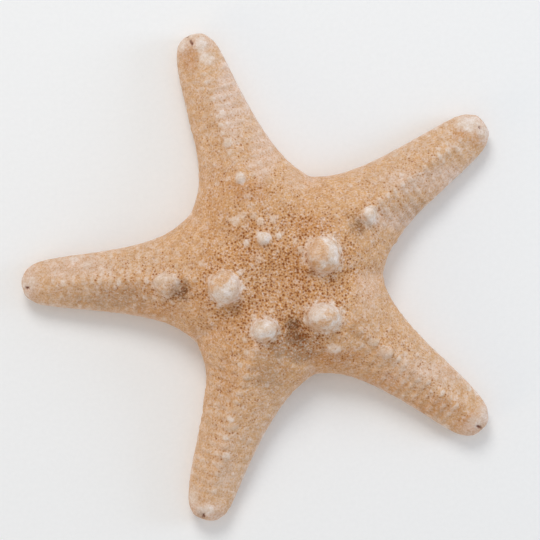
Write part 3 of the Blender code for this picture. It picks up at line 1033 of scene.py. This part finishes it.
def skin_material():
    """Dried skin: tan disc, creamier arms, chalky plates and knobs, brown pores and stains, with
    painted shade and painted light on the arms' flanks and painted shade in the hollows beside the
    knobs.
    """
    colours = settings().colours
    tan, cream, rust, ash, blush, chalk, pore, stain, slit = (
        tuple(getattr(colours, name)) for name in SkinColours.__annotations__
    )
    material, wiring, shader, spot = new_material("dried_pitted_skin", 0.3)
    times = wiring.times
    larger = wiring.larger
    ramp = wiring.ramp
    mask = wiring.mask
    mix = wiring.mix
    grain = wiring.group(grain_group(), {"Vector": spot, "Grain": 2300.0})
    tone = grain.outputs["Tone"]
    amount = ramp(mask("pores"), 0.0, 1.0, 0.04, 1.0)
    pores = wiring.group(pore_group(), {"Vector": spot, "Amount": amount})
    fleck = wiring.noise(spot, 2000.0, 2.0, 0.6)
    busy = ramp(mask("pores"), 0.0, 0.8, 0.50, 0.90)

    # Skin: warm on the disc, with rust, pink and cool patches, which also paint shade on the shaded
    # flanks and light on the lit ones
    warmth = wiring.math("ADD", mask("warmth"), ramp(tone, 0.35, 0.65, -0.25, 0.25), clamp=True)
    skin = mix(warmth, cream, tan)
    blotch = ramp(wiring.noise(spot, 380.0, 4.0, 0.65), 0.46, 0.66, 0.0, 0.40)
    blotch = times(blotch, mask("warmth"))
    skin = mix(larger(blotch, times(mask("rust"), 0.72)), skin, rust)
    pale = ramp(wiring.noise(spot, 620.0, 4.0, 0.7), 0.50, 0.66, 0.0, 0.40)
    skin = mix(larger(pale, times(mask("blush"), 0.8)), skin, blush)
    skin = mix(times(mask("ash"), 0.80), skin, ash)

    # Flecks, light and dark, and the stained skin round the pores
    skin = mix(times(ramp(fleck, 0.50, 0.64, 0.0, 0.85), busy), skin, blush)
    dark = times(ramp(fleck, 0.49, 0.36, 0.0, 0.80), busy)
    skin = mix(larger(dark, times(pores.outputs["Halo"], 0.65)), skin, rust)

    # Bare skeleton on the knobs, plates and underside, then the stained hollows, their dark colour
    # partly painted shade
    capped = times(mask("knob"), ramp(mask("worn"), 0.0, 1.0, 1.0, 0.2))
    whiteness = times(larger(capped, mask("plate")), ramp(tone, 0.34, 0.58, 0.6, 1.0))
    skin = mix(larger(whiteness, times(mask("underside"), 0.6)), skin, chalk)
    skin = mix(times(mask("stain"), ramp(fleck, 0.42, 0.60, 0.95, 0.45)), skin, stain)

    # The pores themselves, and the tips' pits
    hole = times(pores.outputs["Hole"], ramp(whiteness, 0.1, 0.5, 1.0, 0.15))
    hole = larger(hole, ramp(mask("pore"), 0.08, 0.80, 0.0, 0.95))
    skin = mix(times(hole, 0.92), skin, pore)
    skin = mix(times(mask("slit"), 0.9), skin, slit)

    skin = wiring.tinted(skin, ramp(tone, 0.34, 0.66), (0.85, 0.76, 0.64), (1.08, 1.13, 1.20))
    wiring.join(skin, shader.inputs["Base Color"])
    wiring.join(ramp(tone, 0.3, 0.7, 0.94, 0.78), shader.inputs["Roughness"])
    height = wiring.math("ADD", grain.outputs["Height"], times(fleck, 0.8))
    height = wiring.math("SUBTRACT", height, times(hole, 1.2))
    add_bump(wiring, shader, height, 0.7, 0.12 * MM)
    return material


def bone_material(name, light, dark, grain_scale):
    """Chalky spines and granules: pale and brown in patches."""
    material, wiring, shader, spot = new_material(name, 0.3)
    grain = wiring.group(grain_group(), {"Vector": spot, "Grain": grain_scale})
    tone = grain.outputs["Tone"]
    patches = wiring.ramp(wiring.noise(spot, 260.0, 3.0), 0.35, 0.65)
    bone = wiring.mix(patches, light, dark)
    bone = wiring.tinted(bone, wiring.ramp(tone, 0.3, 0.7), grey(0.84), grey(1.08))
    wiring.join(bone, shader.inputs["Base Color"])
    wiring.join(wiring.ramp(tone, 0.3, 0.7, 0.92, 0.74), shader.inputs["Roughness"])
    add_bump(wiring, shader, grain.outputs["Height"], 0.4, 0.06 * MM)
    return material


def backdrop_material():
    """Matte white board with a faint tooth."""
    material, wiring, shader, spot = new_material("matte_white_board", 0.1)
    tooth = wiring.noise(spot, 900.0, 3.0)
    white = (*grey(1.0), 1.0)
    board = wiring.tinted(white, wiring.ramp(tooth, 0.3, 0.7), grey(0.955), grey(0.975))
    wiring.join(board, shader.inputs["Base Color"])
    wiring.join(wiring.ramp(tooth, 0.3, 0.7, 0.96, 0.88), shader.inputs["Roughness"])
    return material


# ------------------------------------------------------------------------------- geometry nodes


def node_tree(name, sizes):
    """A Geometry Nodes tree with these sizes, a seed and a material as its named inputs."""
    tree = bpy.data.node_groups.new(name, "GeometryNodeTree")
    tree.interface.new_socket("Geometry", in_out="INPUT", socket_type="NodeSocketGeometry")
    tree.interface.new_socket("Geometry", in_out="OUTPUT", socket_type="NodeSocketGeometry")
    identifiers = {}
    kinds = dict.fromkeys(sizes, "NodeSocketFloat")
    kinds.update({"Seed": "NodeSocketInt", "Material": "NodeSocketMaterial"})
    for label, kind in kinds.items():
        item = tree.interface.new_socket(label, in_out="INPUT", socket_type=kind)
        identifiers[label] = item.identifier
    given = tree.nodes.new("NodeGroupInput").outputs
    return tree, Wiring(tree), given, tree.nodes.new("NodeGroupOutput"), identifiers


def finish_tree(wiring, instances, material, end):
    """Realizes the instances, shades them smooth and gives them their material."""
    real = wiring.node("GeometryNodeRealizeInstances", {"Geometry": instances})
    smooth = wiring.node("GeometryNodeSetShadeSmooth", {"Geometry": real.outputs["Geometry"]})
    feeds = {"Geometry": smooth.outputs["Geometry"], "Material": material}
    paint = wiring.node("GeometryNodeSetMaterial", feeds)
    wiring.join(paint.outputs["Geometry"], end.inputs["Geometry"])


def granule_tree():
    """Flattened granules strewn over the part of a mesh that its granular attribute marks."""
    tree, wiring, given, end, identifiers = node_tree("Granules", ("Spacing", "Density", "Radius"))
    marked = wiring.node("GeometryNodeInputNamedAttribute", {"Name": "granular"}, data_type="FLOAT")
    strew = wiring.node(
        "GeometryNodeDistributePointsOnFaces",
        {
            "Mesh": given["Geometry"],
            "Distance Min": given["Spacing"],
            "Density Max": given["Density"],
            "Density Factor": marked.outputs["Attribute"],
            "Seed": given["Seed"],
        },
        distribute_method="POISSON",
    )
    ball = wiring.node("GeometryNodeMeshIcoSphere", {"Subdivisions": 1, "Radius": given["Radius"]})
    size = wiring.random("FLOAT_VECTOR", (0.75, 0.75, 0.45), (1.15, 1.15, 0.75), given["Seed"])
    feeds = {
        "Points": strew.outputs["Points"],
        "Instance": ball.outputs["Mesh"],
        "Rotation": strew.outputs["Rotation"],
        "Scale": size,
    }
    copies = wiring.node("GeometryNodeInstanceOnPoints", feeds)
    finish_tree(wiring, copies.outputs["Instances"], given["Material"], end)
    return tree, identifiers


def spine_tree():
    """Blunt spines standing along curves and leaning to the curves' right."""
    sizes = ("Spacing", "Length", "Base radius", "Tip radius", "Drop")
    tree, wiring, given, end, identifiers = node_tree("Spines", sizes)
    feeds = {"Curve": given["Geometry"], "Length": given["Spacing"]}
    even = wiring.node("GeometryNodeResampleCurve", feeds, mode="LENGTH")
    feeds = {
        "Vertices": 7,
        "Side Segments": 2,
        "Radius Top": given["Tip radius"],
        "Radius Bottom": given["Base radius"],
        "Depth": given["Length"],
    }
    cone = wiring.node("GeometryNodeMeshCone", feeds)
    tangent = wiring.node("GeometryNodeInputTangent").outputs["Tangent"]
    aside = wiring.vector("CROSS_PRODUCT", tangent, (0.0, 0.0, 1.0))
    fall = wiring.times(given["Drop"], -1.0)
    down = wiring.node("ShaderNodeCombineXYZ", {"Z": fall}).outputs["Vector"]
    wobble = wiring.random("FLOAT_VECTOR", (-0.22, -0.22, -0.10), (0.22, 0.22, 0.10), given["Seed"])
    aim = wiring.vector("ADD", wiring.vector("ADD", aside, down), wobble)
    turn = wiring.node("FunctionNodeAlignRotationToVector", {"Vector": aim}, axis="Z")
    feeds = {
        "Points": even.outputs["Curve"],
        "Instance": cone.outputs["Mesh"],
        "Rotation": turn.outputs["Rotation"],
        "Scale": wiring.random("FLOAT", 0.8, 1.15, given["Seed"]),
    }
    copies = wiring.node("GeometryNodeInstanceOnPoints", feeds)
    finish_tree(wiring, copies.outputs["Instances"], given["Material"], end)
    return tree, identifiers


def grow(obj, tree, identifiers, values):
    """Runs a tree on the object with these inputs and makes the result a plain mesh."""
    modifier = obj.modifiers.new(tree.name, "NODES")
    modifier.node_group = tree
    for label, value in values.items():
        modifier[identifiers[label]] = value
    grown = new_object(obj.name + "_mesh", evaluated_mesh(obj))
    bpy.data.objects.remove(obj)
    return grown


def curve_object(name, lines):
    """Poly splines through these lists of points."""
    curve = bpy.data.curves.new(name, "CURVE")
    curve.dimensions = "3D"
    for line in lines:
        spline = curve.splines.new("POLY")
        spline.points.add(len(line) - 1)
        for point, target in zip(spline.points, line):
            point.co = (*target, 1.0)
    return new_object(name, curve)


# ------------------------------------------------------------------------------------ underside


def ceiling_at(tree, spot):
    """Height of the underside's surface over this level place, looking up from below."""
    hit = tree.ray_cast(Vector((spot[0], spot[1], -1.0)), Vector((0.0, 0.0, 1.0)))[0]
    return None if hit is None else hit.z


def furrow_lines(tree):
    """Lines just inside both lips of every furrow, running so that each one's right is the furrow."""
    lines = []
    for arm in ARMS:
        reach = arm[1] * MM
        for sign in (1.0, -1.0):
            line = []
            along = FURROW_BEGINS
            while along < reach - FURROW_ENDS:
                across = sign * (LIP_AT_MOUTH + (LIP_AT_TIP - LIP_AT_MOUTH) * along / reach)
                spot = arm_point(arm, along, across)
                height = ceiling_at(tree, spot)
                if height is not None and height < DEEPEST_FURROW:
                    line.append((spot[0], spot[1], max(height - SPINE_SINK, LOWEST_SPINE)))
                along += LINE_STEP
            lines.append(line if sign > 0.0 else line[::-1])
    return lines


def mouth_lines(tree):
    """A short line round each of the five jaws, between two furrows at the mouth."""
    lines = []
    for index, arm in enumerate(ARMS):
        following = ARMS[(index + 1) % len(ARMS)]
        middle = arm[0] + ((following[0] - arm[0]) % 360.0) / 2.0
        line = []
        for turn in JAW_TURNS:
            radius = (3.4 + 2.2 * abs(turn) / JAW_TURNS[-1]) * MM
            spot = place(0.0, 0.0) + unit(middle + turn) * radius
            height = ceiling_at(tree, spot)
            line.append((spot[0], spot[1], max((height or 0.0), LOWEST_JAW)))
        lines.append(line[::-1])
    return lines


# ------------------------------------------------------------------------------------ operators


def ride_as_skin(piece):
    """Names the mesh after the piece and sets it on the body."""
    piece.data.name = piece.name
    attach(piece, ROOT)


class STARFISH_OT_body(bpy.types.Operator):
    """Sculpts the body: skin, knobs, plates, pores and pale tips"""

    bl_idname = "starfish.make_body"
    bl_label = "Body"

    def execute(self, context):
        sizes = settings().skin
        body = fine_body(sizes)
        sculpt = sculpt_body(body, sizes)
        body.data.materials.append(skin_material())
        body.data.shade_smooth()
        granular = smoothstep(-0.55, -0.9, sculpt.up) * (sculpt.points[:, 2] < PRESSED_HEIGHT)
        write_masks(body.data, {"granular": granular})
        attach(body, ROOT)
        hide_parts(BODY_NODE)
        return {"FINISHED"}


class STARFISH_OT_granules(bpy.types.Operator):
    """Strews granules over the underside"""

    bl_idname = "starfish.make_granules"
    bl_label = "Granules"

    def execute(self, context):
        furrows = settings().furrows
        ground = new_object("granules", bpy.data.objects["starfish_body"].data.copy())
        light, dark = tuple(furrows.granule_light), tuple(furrows.granule_dark)
        values = {
            "Spacing": furrows.granule_gap,
            "Density": GRANULE_DENSITY,
            "Radius": furrows.granule_radius,
            "Seed": SEED,
            "Material": bone_material("chalky_granules", light, dark, 4200.0),
        }
        granules = grow(ground, *granule_tree(), values)
        granules.name = "granules"
        ride_as_skin(granules)
        return {"FINISHED"}


class STARFISH_OT_spines(bpy.types.Operator):
    """Lines the furrows and the mouth with blunt spines"""

    bl_idname = "starfish.make_spines"
    bl_label = "Spines"

    def execute(self, context):
        furrows = settings().furrows
        graph = bpy.context.evaluated_depsgraph_get()
        surface = BVHTree.FromObject(bpy.data.objects["starfish_body"], graph)
        tree, identifiers = spine_tree()
        light, dark = tuple(furrows.spine_light), tuple(furrows.spine_dark)
        material = bone_material("chalky_spines", light, dark, 3600.0)
        rows = (
            ("furrow_spines", furrow_lines(surface), 1.0, 0.12),
            ("mouth_spines", mouth_lines(surface), 1.5, 0.10),
        )
        for name, lines, scale, drop in rows:
            values = {
                "Spacing": furrows.spine_step * scale,
                "Length": furrows.spine_length * scale,
                "Base radius": furrows.spine_radius * scale,
                "Tip radius": furrows.spine_radius * scale * 0.55,
                "Drop": drop,
                "Seed": SEED,
                "Material": material,
            }
            spines = grow(curve_object(name, lines), tree, identifiers, values)
            spines.name = name
            ride_as_skin(spines)
        return {"FINISHED"}


class STARFISH_OT_stage(bpy.types.Operator):
    """Sets the white board, the soft lights and the camera that looks straight down"""

    bl_idname = "starfish.make_stage"
    bl_label = "Stage"

    def execute(self, context):
        stage = settings().stage
        bpy.ops.mesh.primitive_plane_add(size=BOARD_SIZE)
        floor = bpy.context.object
        floor.name = "white_board"
        floor.data.materials.append(backdrop_material())
        for name, location, size, tint in LIGHTS:
            watts = getattr(stage, name.replace("light", "power"))
            add_area_light(name, location, size, watts, tint)
        add_sky(stage.sky_strength)
        add_camera(stage)
        bpy.context.scene.view_settings.view_transform = "Standard"
        return {"FINISHED"}


def add_area_light(name, location, size, watts, tint):
    """A round soft light that faces the frame's middle."""
    light = bpy.data.lights.new(name, "AREA")
    light.shape = "DISK"
    light.size = size
    light.energy = watts
    light.color = tint
    lamp = new_object(name, light)
    lamp.location = location
    lamp.rotation_euler = (-Vector(location)).to_track_quat("-Z", "Y").to_euler()


def add_sky(strength):
    """Even, slightly cool light from all round."""
    world = bpy.data.worlds.new("even_sky")
    world.use_nodes = True
    sky = world.node_tree.nodes["Background"]
    sky.inputs["Color"].default_value = (0.97, 0.985, 1.0, 1.0)
    sky.inputs["Strength"].default_value = strength
    bpy.context.scene.world = world


def add_camera(stage):
    """A long lens straight above, a little right of and above the box's middle."""
    camera = bpy.data.cameras.new("camera")
    camera.sensor_width = SENSOR_WIDTH
    camera.lens = SENSOR_WIDTH * stage.camera_height / stage.view_width
    camera.clip_start = 0.01
    eye = new_object("camera", camera)
    eye.location = (*CAMERA_PLACE, stage.camera_height + OUTLINE_HEIGHT)
    bpy.context.scene.camera = eye


class STARFISH_PT_panel(bpy.types.Panel):
    """Lists the starfish's pieces and their sizes"""

    bl_idname = "STARFISH_PT_panel"
    bl_label = "Dried Starfish"
    bl_space_type = "VIEW_3D"
    bl_region_type = "UI"
    bl_category = "Starfish"

    def draw(self, context):
        groups = context.scene.dried_starfish
        for group in (groups.skin, groups.colours, groups.furrows, groups.stage):
            column = self.layout.column(align=True)
            for name in group.__annotations__:
                column.prop(group, name)
        for operator in OPERATORS:
            self.layout.operator(operator.bl_idname)


OPERATORS = (
    STARFISH_OT_stage,
    STARFISH_OT_body,
    STARFISH_OT_granules,
    STARFISH_OT_spines,
)
CLASSES = (
    SkinSizes,
    SkinColours,
    FurrowSettings,
    StageSettings,
    StarfishSettings,
    *OPERATORS,
    STARFISH_PT_panel,
)


def register():
    for cls in CLASSES:
        bpy.utils.register_class(cls)
    bpy.types.Scene.dried_starfish = PointerProperty(type=StarfishSettings)


def unregister():
    del bpy.types.Scene.dried_starfish
    for cls in reversed(CLASSES):
        bpy.utils.unregister_class(cls)


def main():
    register()
    bpy.ops.starfish.make_stage()
    bpy.ops.starfish.make_body()
    bpy.ops.starfish.make_granules()
    bpy.ops.starfish.make_spines()


if __name__ == "__main__":
    main()
